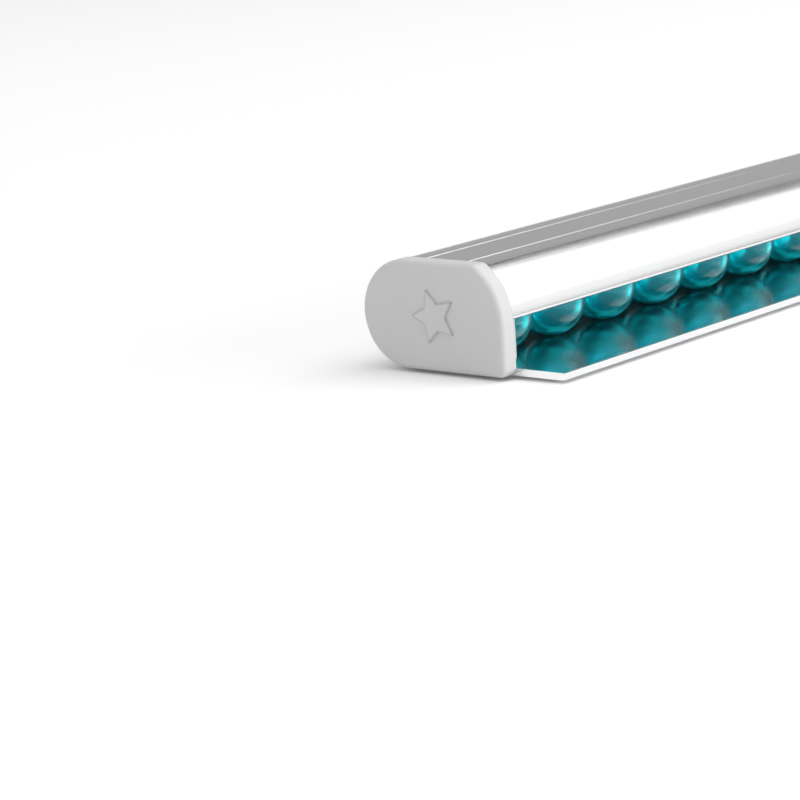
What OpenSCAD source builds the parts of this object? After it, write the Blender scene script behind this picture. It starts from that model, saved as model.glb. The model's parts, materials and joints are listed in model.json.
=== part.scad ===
// Order ticket rail: a hollow aluminium strip with a slot along its front and a cap on each end.
// Glass balls lie loose inside. A paper slip pushed in through the slot rolls them back,
// and they wedge it between themselves and the plate when the rail hangs with its slot down.
// X runs along the rail, -Y is the slot side and Z points away from the mounting surface.

/* [Rail] */
// Length of the aluminium extrusion
rail_len = 450; // [150:5:1000]
// Height from the underside of the plate to the flat top
body_h = 24; // [22:0.5:30]
// Depth from the foremost line of the front wall to the round back
body_d = 38.4; // [34:0.2:50]
// How far the plate stands out in front of the front wall
lip_w = 13.2; // [8:0.2:30]
// Thickness of the plate
plate_t = 1.6; // [1:0.1:2.4]
// Thickness of the top, back and front walls and of the web behind the balls
wall_t = 1.4; // [1:0.1:2]
// Clear height of the slot above the plate
slot_h = 10.4; // [9:0.2:13]
// Height at which the front wall is upright and its curve begins
front_axis_h = 11; // [8:0.5:12]
// How far the front wall leans back by the time it meets the flat top
front_lean = 7; // [5:0.2:9]
// Rounding between the front wall and the flat top
crest_r = 2.4; // [2.2:0.1:4]
// Rounding of the plate's front edge
lip_edge_r = 0.4; // [0.1:0.1:0.5]
// Width of the two grooves along the flat top
groove_w = 0.6; // [0.3:0.1:1]
// Distance of the front groove behind the front wall
groove_front = 11.7; // [10:0.1:14]
// Distance between the two grooves
groove_pitch = 11.5; // [4:0.1:12]

/* [End caps] */
// Thickness of a cap's flange
cap_t = 4.2; // [3:0.1:8]
// How far the flange stands proud of the extrusion
cap_proud = 0.2; // [0.1:0.1:1]
// Rounding of the flange's outer edge
cap_edge_r = 1.2; // [0.4:0.1:1.5]
// Rounding of the flange's lower front corner
cap_corner_r = 1.8; // [1.6:0.1:4]
// How deep the plug goes into the extrusion
plug_depth = 2.6; // [2:0.1:5]
// Clearance of the plug in the extrusion
plug_gap = 0.15; // [0.1:0.05:0.4]
// Height of the plug's lower edge above the plate
plug_lift = 0.9; // [0.2:0.1:2]
// Rounding of the plug's lower front corner
plug_corner_r = 1.2; // [0.4:0.1:2]
// Radius of the star's tips
star_r = 6.15; // [3:0.05:8]
// Radius of the star's inner corners
star_inner_r = 3; // [1:0.1:4]
// Height of the star above the flange
star_rise = 0.5; // [0.2:0.1:1]
// Distance of the star's centre behind the front wall
star_setback = 18.1; // [14:0.1:24]
// Height of the star's centre above the underside of the plate
star_h = 12.2; // [10:0.1:14]

/* [Balls] */
// Diameter of a glass ball
ball_d = 16; // [14:0.5:18]
// Least clear distance from ball to ball
ball_space = 3.3; // [0.3:0.1:10]
// Clearance under a ball and at the ends of its travel
ball_gap = 0.25; // [0.1:0.05:0.5]
// Clear distance from the outer balls to the caps' plugs
ball_end_gap = 1.4; // [0.3:0.1:10]
// How far the balls lie behind the place where they wedge in the slot
ball_setback = 4.8; // [0.3:0.1:10]
// Clear distance from the balls to the web behind them
ball_back_gap = 0.7; // [0.3:0.1:6]

/* [Mounting tape] */
// Width of a tape strip
tape_w = 12; // [6:0.5:14]
// Thickness of a tape strip
tape_t = 0.8; // [0.5:0.1:2]
// Distance of the front strip from the plate's front edge
tape_front_inset = 3; // [1:0.5:8]
// Distance of the rear strip from the place where the round back begins
tape_rear_inset = 2.6; // [0:0.2:8]
// Distance of the strips from the ends of the extrusion
tape_end_inset = 4; // [1:0.5:20]

/* [Hidden] */
$fn = 96;

ball_r = ball_d / 2;
back_r = body_h / 2;
back_y = body_d - back_r;
// The front wall is an arc that stands upright at front_axis_h and meets the flat top after front_lean
front_rise = body_h - front_axis_h;
front_r = (front_rise * front_rise + front_lean * front_lean) / (2 * front_lean);
front_axis = [front_r, front_axis_h];
// The crest is an arc inside the front wall's arc and under the flat top
crest_reach = front_r - crest_r;
crest_rise = front_rise - crest_r;
crest = [front_r - sqrt(crest_reach * crest_reach - crest_rise * crest_rise), body_h - crest_r];
crest_dir = (crest - front_axis) / crest_reach;
// The front wall ends over the slot in a round nose
nose_r = wall_t / 2;
nose_h = plate_t + slot_h + nose_r;
nose_rise = max(nose_h - front_axis_h, 0);
nose_reach = front_r - nose_r;
nose = [front_r - sqrt(nose_reach * nose_reach - nose_rise * nose_rise), nose_h];
nose_dir = (nose - front_axis) / norm(nose - front_axis);
// The flange is level with the plate's underside and proud of the body everywhere else
flange_back_r = (body_h + cap_proud) / 2;
flange_back = [body_d + cap_proud - flange_back_r, flange_back_r];
flange_corner = [cap_corner_r - cap_proud, cap_corner_r];
// A ball on the plate wedges where it meets the nose
ball_h = plate_t + ball_gap + ball_r;
ball_reach = ball_r + nose_r;
wedge_y = nose[0] + sqrt(ball_reach * ball_reach - (nose_h - ball_h) * (nose_h - ball_h));
ball_y = wedge_y + ball_setback;
// An upright web behind the balls keeps them near the slot
web_y = ball_y + ball_r + ball_back_gap;
// As many balls as fit between the plugs lie evenly along the rail
ball_x = -rail_len / 2 + plug_depth + ball_end_gap + ball_r;
ball_count = floor(-2 * ball_x / (ball_d + ball_space)) + 1;
ball_pitch = -2 * ball_x / (ball_count - 1);
// The whole object is centred on the origin and stands on its tape
depth_centre = (body_d + cap_proud - lip_w) / 2;
far = 4 * (body_h + body_d);

function ball_name(i) = str("glass_ball_", i < 10 ? "0" : "", i);

// Shapes are drawn in depth behind the front wall, height above the plate's underside,
// and distance along the rail from its left end
module at_left_end() {
    translate([-rail_len / 2, -depth_centre, tape_t])
        rotate([90, 0, 90])
            children();
}

module wedge(corner, dir_a, dir_b) {
    polygon([corner, corner + far * dir_a, corner + far * (dir_a + dir_b), corner + far * dir_b]);
}

// Outline of the body in depth and height, grown on every side by grow
module body_outline(grow) {
    difference() {
        intersection() {
            union() {
                translate(front_axis)
                    circle(front_r + grow);
                translate([-grow, -grow])
                    square([front_r + grow, front_axis_h + grow]);
                translate([front_r, -grow])
                    square([far, body_h + 2 * grow]);
            }
            union() {
                translate([-grow, -grow])
                    square([back_y + grow, body_h + 2 * grow]);
                translate([back_y, back_r])
                    circle(back_r + grow);
            }
        }
        wedge(crest, [0, 1], crest_dir);
    }
    translate(crest)
        circle(crest_r + grow);
}

module above(height) {
    intersection() {
        children();
        translate([-far, height])
            square(2 * far);
    }
}

module lip_outline() {
    translate([lip_edge_r - lip_w, 0])
        square([lip_w, plate_t]);
    translate([-lip_w, lip_edge_r])
        square([lip_w, plate_t - 2 * lip_edge_r]);
    for (h = [lip_edge_r, plate_t - lip_edge_r])
        translate([lip_edge_r - lip_w, h])
            circle(lip_edge_r);
}

module slot_outline() {
    polygon([
        front_axis,
        front_axis + far * nose_dir,
        [-far, plate_t],
        [front_axis[0], plate_t]
    ]);
}

module web_outline(grow) {
    translate([web_y - grow, 0])
        square([wall_t + 2 * grow, body_h]);
}

module rail_profile() {
    difference() {
        union() {
            body_outline(0);
            lip_outline();
        }
        above(plate_t)
            body_outline(-wall_t);
        slot_outline();
        for (i = [0:1])
            translate([groove_front + i * groove_pitch, body_h])
                rotate(45)
                    square(groove_w / sqrt(2), center = true);
    }
    translate(nose)
        circle(nose_r);
    intersection() {
        body_outline(-wall_t / 2);
        web_outline(0);
    }
}

module rail_extrusion() {
    color("silver")
        at_left_end()
            linear_extrude(rail_len)
                rail_profile();
}

// Cross-section of the flange from its middle out to its rim, with the outer edge rounded
module flange_section(reach) {
    core = reach - cap_edge_r;
    translate([0, cap_edge_r - cap_t])
        square([reach, cap_t - cap_edge_r]);
    translate([0, -cap_t])
        square([core, cap_edge_r]);
    intersection() {
        translate([core, cap_edge_r - cap_t])
            circle(cap_edge_r);
        translate([core, -cap_t])
            square(cap_edge_r);
    }
}

module flange_turn(centre, reach, from = 0, to = 360) {
    translate(centre)
        rotate(from)
            rotate_extrude(angle = to - from)
                flange_section(reach);
}

module flange_run(from, to, reach, outward) {
    translate(to)
        rotate(outward)
            rotate([90, 0, 0])
                linear_extrude(norm(to - from))
                    flange_section(reach);
}

// The flange goes round its outline from the lower front corner, under the back and over the top
module flange() {
    front_reach = crest[0] + cap_proud;
    crest_turn = atan2(crest_dir[1], crest_dir[0]);
    at_left_end() {
        flange_run([flange_corner[0], flange_back_r], flange_back, flange_back_r, -90);
        flange_turn(flange_back, flange_back_r);
        flange_run(flange_back, [crest[0], flange_back_r], flange_back_r, 90);
        flange_turn(crest, crest_r + cap_proud);
        flange_turn(front_axis, front_r + cap_proud, crest_turn, 180);
        flange_run([crest[0], front_axis_h], [crest[0], flange_corner[1]], front_reach, 180);
        flange_turn(flange_corner, cap_corner_r);
    }
}

module plug() {
    grow = -wall_t - plug_gap;
    corner = [plug_corner_r - grow, plate_t + plug_lift + plug_corner_r];
    at_left_end()
        linear_extrude(plug_depth) {
            difference() {
                above(plate_t + plug_lift)
                    body_outline(grow);
                wedge(corner, [-1, 0], [0, -1]);
                web_outline(plug_gap);
            }
            translate(corner)
                circle(plug_corner_r);
        }
}

module star() {
    at_left_end()
        translate([star_setback, star_h, -cap_t - star_rise])
            linear_extrude(star_rise)
                polygon([
                    for (i = [0:9])
                        (i % 2 == 0 ? star_r : star_inner_r) * [cos(36 * i), sin(36 * i)]
                ]);
}

module end_cap_left() {
    color("lightgray") {
        flange();
        plug();
        star();
    }
}

module end_cap_right() {
    mirror([1, 0, 0])
        end_cap_left();
}

module glass_ball(i) {
    color("teal")
        translate([
            ball_x + (i - 1) * ball_pitch,
            ball_y - depth_centre,
            tape_t + ball_h
        ])
            sphere(ball_r);
}

module tape_strip(depth) {
    color("dimgray")
        translate([-rail_len / 2 + tape_end_inset, depth - depth_centre, 0])
            cube([rail_len - 2 * tape_end_inset, tape_w, tape_t]);
}

module mounting_tape_front() {
    tape_strip(tape_front_inset - lip_w);
}

module mounting_tape_rear() {
    tape_strip(back_y - tape_rear_inset - tape_w);
}

rail_extrusion();
end_cap_left();
end_cap_right();
mounting_tape_front();
mounting_tape_rear();
for (i = [1:ball_count])
    glass_ball(i);
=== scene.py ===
"""Order ticket rail: the finish of every surface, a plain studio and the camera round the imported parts."""
import json
import math

import bpy
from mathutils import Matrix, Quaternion, Vector


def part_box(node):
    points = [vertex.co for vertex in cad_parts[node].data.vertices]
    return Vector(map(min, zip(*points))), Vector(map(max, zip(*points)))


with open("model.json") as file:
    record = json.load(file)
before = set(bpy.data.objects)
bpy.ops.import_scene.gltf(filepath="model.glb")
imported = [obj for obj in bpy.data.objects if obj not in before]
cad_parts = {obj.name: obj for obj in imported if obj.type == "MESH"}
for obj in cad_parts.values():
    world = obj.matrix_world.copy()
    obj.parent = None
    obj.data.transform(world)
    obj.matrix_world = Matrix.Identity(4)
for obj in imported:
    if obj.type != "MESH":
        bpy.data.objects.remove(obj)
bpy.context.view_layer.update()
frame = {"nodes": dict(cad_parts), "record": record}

# Lengths are in metres and colours are linear red, green, blue and alpha.
# PER_METRE values are the features of a noise along a metre of X, Y and Z

# Camera: where it stands, which way it looks and its lens, for a square frame
CAMERA_PLACE = Vector((-0.7088, -0.3939, 0.1332))
CAMERA_HEADING = math.radians(40.57)
CAMERA_PITCH = math.radians(-12.47)
CAMERA_ROLL = math.radians(-3.68)
CAMERA_LENS_MM = 132.5
CAMERA_SENSOR_MM = 36
CAMERA_REACH = 100

# Room: grey all round, with a dark panel high on the right for the metal to mirror.
# The panel fades in over these reaches of a unit direction along PANEL_UP and along X
ROOM_GREY = (0.40, 0.40, 0.40, 1)
PANEL_GREY = (0.02, 0.02, 0.02, 1)
PANEL_UP = (0, -0.6, 1)
PANEL_UP_FADE = (0.56, 0.66)
PANEL_RIGHT_FADE = (0.40, 0.60)

# Floor: a pale square with a faint glow of its own, which is seen but adds no light to matte surfaces
FLOOR_HALF_SIDE = 30
FLOOR_WHITE = (0.92, 0.92, 0.92, 1)
FLOOR_ROUGHNESS = 0.9
FLOOR_GLOW = 0.05
GLOW_WHITE = (1, 1, 1, 1)

# Softboxes: the place on the rail that all of them face
AIM = Vector((-0.10, 0, 0.012))

# Satin aluminium: fine grain, lines drawn along the rail and clouds in its tone.
# The walls round the balls are duller and painted a darker grey as shade, and the corner behind them is
# painted darker still as shade
GRAIN_PER_METRE = (4200, 4200, 4200)
DRAWN_PER_METRE = (25, 1800, 1800)
CLOUD_PER_METRE = (60, 90, 90)
GRAIN_IN_TONE = 0.6
CLOUD_IN_TONE = 0.4
DRAWN_IN_RELIEF = 0.5
RELIEF_DEPTH = 0.00002
RELIEF_STRENGTH = 0.35
SATIN_DARK = (0.83, 0.835, 0.845, 1)
SATIN_LIGHT = (0.92, 0.925, 0.93, 1)
SATIN_ROUGHNESS = (0.10, 0.19)
# Painted shade: the walls round the balls take a darker grey than the satin outside; their extra roughness
# is the real dullness
WALLS_SHADE_GREY = (0.72, 0.745, 0.755, 1)
WALLS_ROUGHER = 0.1
# Painted shade: the corner under and behind the balls, faintly teal like the light through them
CORNER_SHADE_GREY = (0.23, 0.26, 0.265, 1)

# Cap plastic: the fine texture of its mould, faint flow marks and sharp edges that are shaded as rounded
TEXTURE_PER_METRE = (2600, 2600, 2600)
TEXTURE_DEPTH = 0.00003
TEXTURE_STRENGTH = 0.3
FLOW_PER_METRE = (70, 70, 70)
CAP_DARK = (0.585, 0.588, 0.588, 1)
CAP_LIGHT = (0.635, 0.637, 0.635, 1)
CAP_ROUGHNESS = (0.45, 0.62)
CAP_SOFT_EDGE = 0.0006

# Teal glass: a clear body that absorbs red, under a surface with a faint bloom
BLOOM_PER_METRE = (160, 160, 160)
GLASS_DARK = (0.08, 0.88, 0.91, 1)
GLASS_LIGHT = (0.12, 0.94, 0.95, 1)
GLASS_ROUGHNESS = (0.04, 0.1)
GLASS_CLEARNESS = 0.95
GLASS_IOR = 1.5
GLASS_TINT = (0.0, 0.895, 0.92, 1)
GLASS_DENSITY = 185

# Foam tape: closed cells
CELLS_PER_METRE = 1800
CELL_DEPTH = 0.0001
CELL_STRENGTH = 0.6
FOAM_DARK = (0.10, 0.10, 0.105, 1)
FOAM_LIGHT = (0.20, 0.20, 0.205, 1)
FOAM_ROUGHNESS = 0.9

# Sockets of a Mix node that mixes colours, which share their names with its other sockets
MIX_FACTOR, MIX_FIRST, MIX_SECOND = 0, 6, 7
MIX_COLOUR = 2


def feed(tree, value, socket):
    """Link another node's output to a socket, or set a plain value on it."""
    if isinstance(value, bpy.types.NodeSocket):
        tree.links.new(value, socket)
    else:
        socket.default_value = value


def node(tree, kind, settings=None, **inputs):
    """A new shader node with its settings and inputs. In the name of an input, _ stands for a space."""
    new = tree.nodes.new("ShaderNode" + kind)
    for key, value in (settings or {}).items():
        setattr(new, key, value)
    for key, value in inputs.items():
        feed(tree, value, new.inputs[key.replace("_", " ")])
    return new


def two_inputs(tree, kind, operation, a, b):
    """A Math or VectorMath node, whose inputs are told apart by their order alone."""
    made = node(tree, kind, {"operation": operation})
    for socket, value in zip(made.inputs, (a, b)):
        feed(tree, value, socket)
    return made


def math_node(tree, operation, a, b):
    return two_inputs(tree, "Math", operation, a, b).outputs["Value"]


def add(tree, a, b):
    return math_node(tree, "ADD", a, b)


def times(tree, a, b):
    return math_node(tree, "MULTIPLY", a, b)


def vector_node(tree, operation, a, b):
    return two_inputs(tree, "VectorMath", operation, a, b).outputs["Vector"]


def dot(tree, a, b):
    return two_inputs(tree, "VectorMath", "DOT_PRODUCT", a, b).outputs["Value"]


def mapped(tree, value, low, high):
    """A 0 to 1 value spread over low to high."""
    return node(tree, "MapRange", Value=value, To_Min=low, To_Max=high).outputs["Result"]


def ramp(tree, value, start, end):
    """0 at start and 1 at end."""
    return node(tree, "MapRange", Value=value, From_Min=start, From_Max=end).outputs["Result"]


def noise(tree, place, per_metre, detail):
    stretched = node(tree, "Mapping", Vector=place, Scale=per_metre).outputs["Vector"]
    return node(tree, "TexNoise", Vector=stretched, Scale=1.0, Detail=detail).outputs["Fac"]


def two_tone(tree, factor, first, second):
    """From the first colour at 0 to the second at 1. A colour is four numbers or another node's output."""
    mix = node(tree, "Mix", {"data_type": "RGBA"})
    feed(tree, factor, mix.inputs[MIX_FACTOR])
    feed(tree, first, mix.inputs[MIX_FIRST])
    feed(tree, second, mix.inputs[MIX_SECOND])
    return mix.outputs[MIX_COLOUR]


def bump(tree, height, depth, strength):
    return node(tree, "Bump", Strength=strength, Distance=depth, Height=height).outputs["Normal"]


def blank_material(name):
    """A material with a Principled shader, and with it its tree, the shader and the output node."""
    material = bpy.data.materials.new(name)
    material.use_nodes = True
    tree = material.node_tree
    tree.nodes.clear()
    shader = tree.nodes.new("ShaderNodeBsdfPrincipled")
    output = tree.nodes.new("ShaderNodeOutputMaterial")
    tree.links.new(shader.outputs["BSDF"], output.inputs["Surface"])
    return material, tree, shader, output


def own_place(tree):
    """The object's own coordinates, in metres."""
    return node(tree, "TexCoord").outputs["Object"]


def chamber(tree, place):
    """Masks of the walls round the balls and of the corner under and behind them, where shade is painted on
    the metal.
    """
    low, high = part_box("glass_ball_01")
    axis = (low + high) / 2
    across_rail = (0, 1, 1)
    inward = vector_node(tree, "MULTIPLY", vector_node(tree, "SUBTRACT", axis, place), across_rail)
    normal = node(tree, "NewGeometry").outputs["Normal"]
    faces_axis = math_node(tree, "GREATER_THAN", dot(tree, inward, normal), 0.0)
    point = node(tree, "SeparateXYZ", Vector=place)
    above_plate = ramp(tree, point.outputs["Z"], low.z, (low.z + axis.z) / 2)
    below_axis = ramp(tree, point.outputs["Z"], axis.z, (low.z + axis.z) / 2)
    behind = ramp(tree, point.outputs["Y"], low.y, axis.y)
    walls = times(tree, faces_axis, above_plate)
    # The corner under and behind the balls, where shade is painted
    painted_shade_corner = times(tree, faces_axis, times(tree, below_axis, behind))
    return walls, painted_shade_corner


def anodised_aluminium():
    material, tree, shader, _ = blank_material("satin_anodised_aluminium")
    place = own_place(tree)
    grain = noise(tree, place, GRAIN_PER_METRE, detail=3)
    drawn = noise(tree, place, DRAWN_PER_METRE, detail=2)
    cloud = noise(tree, place, CLOUD_PER_METRE, detail=3)
    walls, painted_shade_corner = chamber(tree, place)
    tone = add(tree, times(tree, grain, GRAIN_IN_TONE), times(tree, cloud, CLOUD_IN_TONE))
    satin = two_tone(tree, tone, SATIN_DARK, SATIN_LIGHT)
    # Painted shade: the walls round the balls take a darker grey
    lined = two_tone(tree, walls, satin, WALLS_SHADE_GREY)
    # Painted shade: the corner under and behind the balls goes darker still
    tree.links.new(two_tone(tree, painted_shade_corner, lined, CORNER_SHADE_GREY), shader.inputs["Base Color"])
    roughness = add(tree, mapped(tree, tone, *SATIN_ROUGHNESS), times(tree, walls, WALLS_ROUGHER))
    tree.links.new(roughness, shader.inputs["Roughness"])
    relief = add(tree, grain, times(tree, drawn, DRAWN_IN_RELIEF))
    tree.links.new(bump(tree, relief, RELIEF_DEPTH, RELIEF_STRENGTH), shader.inputs["Normal"])
    shader.inputs["Metallic"].default_value = 1
    return material


def cap_plastic():
    material, tree, shader, _ = blank_material("matte_cap_plastic")
    place = own_place(tree)
    texture = noise(tree, place, TEXTURE_PER_METRE, detail=3)
    flow = noise(tree, place, FLOW_PER_METRE, detail=4)
    tree.links.new(two_tone(tree, flow, CAP_DARK, CAP_LIGHT), shader.inputs["Base Color"])
    tree.links.new(mapped(tree, texture, *CAP_ROUGHNESS), shader.inputs["Roughness"])
    soft_edge = node(tree, "Bevel", Radius=CAP_SOFT_EDGE).outputs["Normal"]
    relief = node(
        tree, "Bump", Strength=TEXTURE_STRENGTH, Distance=TEXTURE_DEPTH, Height=texture, Normal=soft_edge)
    tree.links.new(relief.outputs["Normal"], shader.inputs["Normal"])
    return material


def teal_glass():
    material, tree, shader, output = blank_material("clear_teal_glass")
    bloom = noise(tree, own_place(tree), BLOOM_PER_METRE, detail=4)
    tree.links.new(two_tone(tree, bloom, GLASS_DARK, GLASS_LIGHT), shader.inputs["Base Color"])
    tree.links.new(mapped(tree, bloom, *GLASS_ROUGHNESS), shader.inputs["Roughness"])
    shader.inputs["Transmission Weight"].default_value = GLASS_CLEARNESS
    shader.inputs["IOR"].default_value = GLASS_IOR
    tint = node(tree, "VolumeAbsorption", Color=GLASS_TINT, Density=GLASS_DENSITY)
    tree.links.new(tint.outputs["Volume"], output.inputs["Volume"])
    return material


def foam_tape():
    material, tree, shader, _ = blank_material("closed_cell_foam")
    cells = node(tree, "TexVoronoi", Vector=own_place(tree), Scale=CELLS_PER_METRE).outputs["Distance"]
    tree.links.new(two_tone(tree, cells, FOAM_DARK, FOAM_LIGHT), shader.inputs["Base Color"])
    tree.links.new(bump(tree, cells, CELL_DEPTH, CELL_STRENGTH), shader.inputs["Normal"])
    shader.inputs["Roughness"].default_value = FOAM_ROUGHNESS
    return material


def finish_nodes():
    """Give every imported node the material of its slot."""
    finishes = {
        "anodised_aluminium": anodised_aluminium(),
        "cap_plastic": cap_plastic(),
        "teal_glass": teal_glass(),
        "foam_tape": foam_tape(),
    }
    for part in frame["record"]["subparts"]:
        slots = frame["nodes"][part["node"]].data.materials
        slots.clear()
        slots.append(finishes[part["material_slot"]])


def studio_floor():
    mesh = bpy.data.meshes.new("studio_floor")
    signs = ((-1, -1), (1, -1), (1, 1), (-1, 1))
    corners = [(x * FLOOR_HALF_SIDE, y * FLOOR_HALF_SIDE, 0) for x, y in signs]
    mesh.from_pydata(corners, [], [(0, 1, 2, 3)])
    floor = bpy.data.objects.new("studio_floor", mesh)
    bpy.context.scene.collection.objects.link(floor)
    material, tree, shader, _ = blank_material("studio_floor")
    shader.inputs["Base Color"].default_value = FLOOR_WHITE
    shader.inputs["Roughness"].default_value = FLOOR_ROUGHNESS
    shader.inputs["Specular IOR Level"].default_value = 0
    shader.inputs["Emission Color"].default_value = GLOW_WHITE
    ray = node(tree, "LightPath")
    seen = math_node(tree, "MAXIMUM", ray.outputs["Is Camera Ray"], ray.outputs["Is Glossy Ray"])
    seen = math_node(tree, "MAXIMUM", seen, ray.outputs["Is Transmission Ray"])
    tree.links.new(times(tree, seen, FLOOR_GLOW), shader.inputs["Emission Strength"])
    mesh.materials.append(material)


def room():
    world = bpy.data.worlds.new("room")
    bpy.context.scene.world = world
    world.use_nodes = True
    tree = world.node_tree
    backdrop = tree.nodes["Background"]
    backdrop.inputs["Strength"].default_value = 1
    toward = node(tree, "TexCoord").outputs["Generated"]
    high = ramp(tree, dot(tree, toward, PANEL_UP), *PANEL_UP_FADE)
    right = ramp(tree, node(tree, "SeparateXYZ", Vector=toward).outputs["X"], *PANEL_RIGHT_FADE)
    panel = times(tree, high, right)
    tree.links.new(two_tone(tree, panel, ROOM_GREY, PANEL_GREY), backdrop.inputs["Color"])


def direction(heading, pitch):
    """The unit vector of a heading from X towards Y and a pitch above the floor, in radians."""
    level = math.cos(pitch)
    return Vector((math.cos(heading) * level, math.sin(heading) * level, math.sin(pitch)))


def softbox(name, heading, pitch, distance, width, height, radiance):
    """A rectangular light that faces AIM from a heading and a pitch, in degrees."""
    away = direction(math.radians(heading), math.radians(pitch))
    light = bpy.data.lights.new(name, "AREA")
    light.shape = "RECTANGLE"
    light.size = width
    light.size_y = height
    light.energy = radiance * math.pi * width * height
    lamp = bpy.data.objects.new(name, light)
    lamp.location = AIM + distance * away
    lamp.rotation_euler = away.to_track_quat("Z", "Y").to_euler()
    lamp.visible_camera = False
    bpy.context.scene.collection.objects.link(lamp)


def softboxes():
    """Two that the front wall mirrors, one that shines into the slot, the key and one for the left cap."""
    softbox("front_right", heading=-38.05, pitch=28.7, distance=3.0, width=2.48, height=1.92, radiance=1.15)
    softbox("front_right_low", heading=-38.05, pitch=7, distance=3.0, width=2.48, height=0.42, radiance=0.62)
    softbox("front_low", heading=-75, pitch=11, distance=3.0, width=2.5, height=1.1, radiance=4.6)
    softbox("key", heading=-50, pitch=68, distance=3.2, width=3.2, height=3.2, radiance=1.75)
    softbox("left_high", heading=162, pitch=53, distance=3.2, width=3.0, height=3.0, radiance=1.05)


def light_paths():
    """Let light find its way in and out of the glass and the metal chamber."""
    cycles = bpy.context.scene.cycles
    cycles.max_bounces = 32
    cycles.glossy_bounces = 16
    cycles.transmission_bounces = 24


def camera():
    data = bpy.data.cameras.new("camera")
    data.lens = CAMERA_LENS_MM
    data.sensor_width = CAMERA_SENSOR_MM
    data.clip_end = CAMERA_REACH
    eye = bpy.data.objects.new("camera", data)
    eye.location = CAMERA_PLACE
    upright = direction(CAMERA_HEADING, CAMERA_PITCH).to_track_quat("-Z", "Y")
    eye.rotation_euler = (upright @ Quaternion((0, 0, 1), CAMERA_ROLL)).to_euler()
    bpy.context.scene.collection.objects.link(eye)
    bpy.context.scene.camera = eye


finish_nodes()
studio_floor()
room()
softboxes()
light_paths()
camera()
bpy.context.scene.view_settings.view_transform = "Standard"
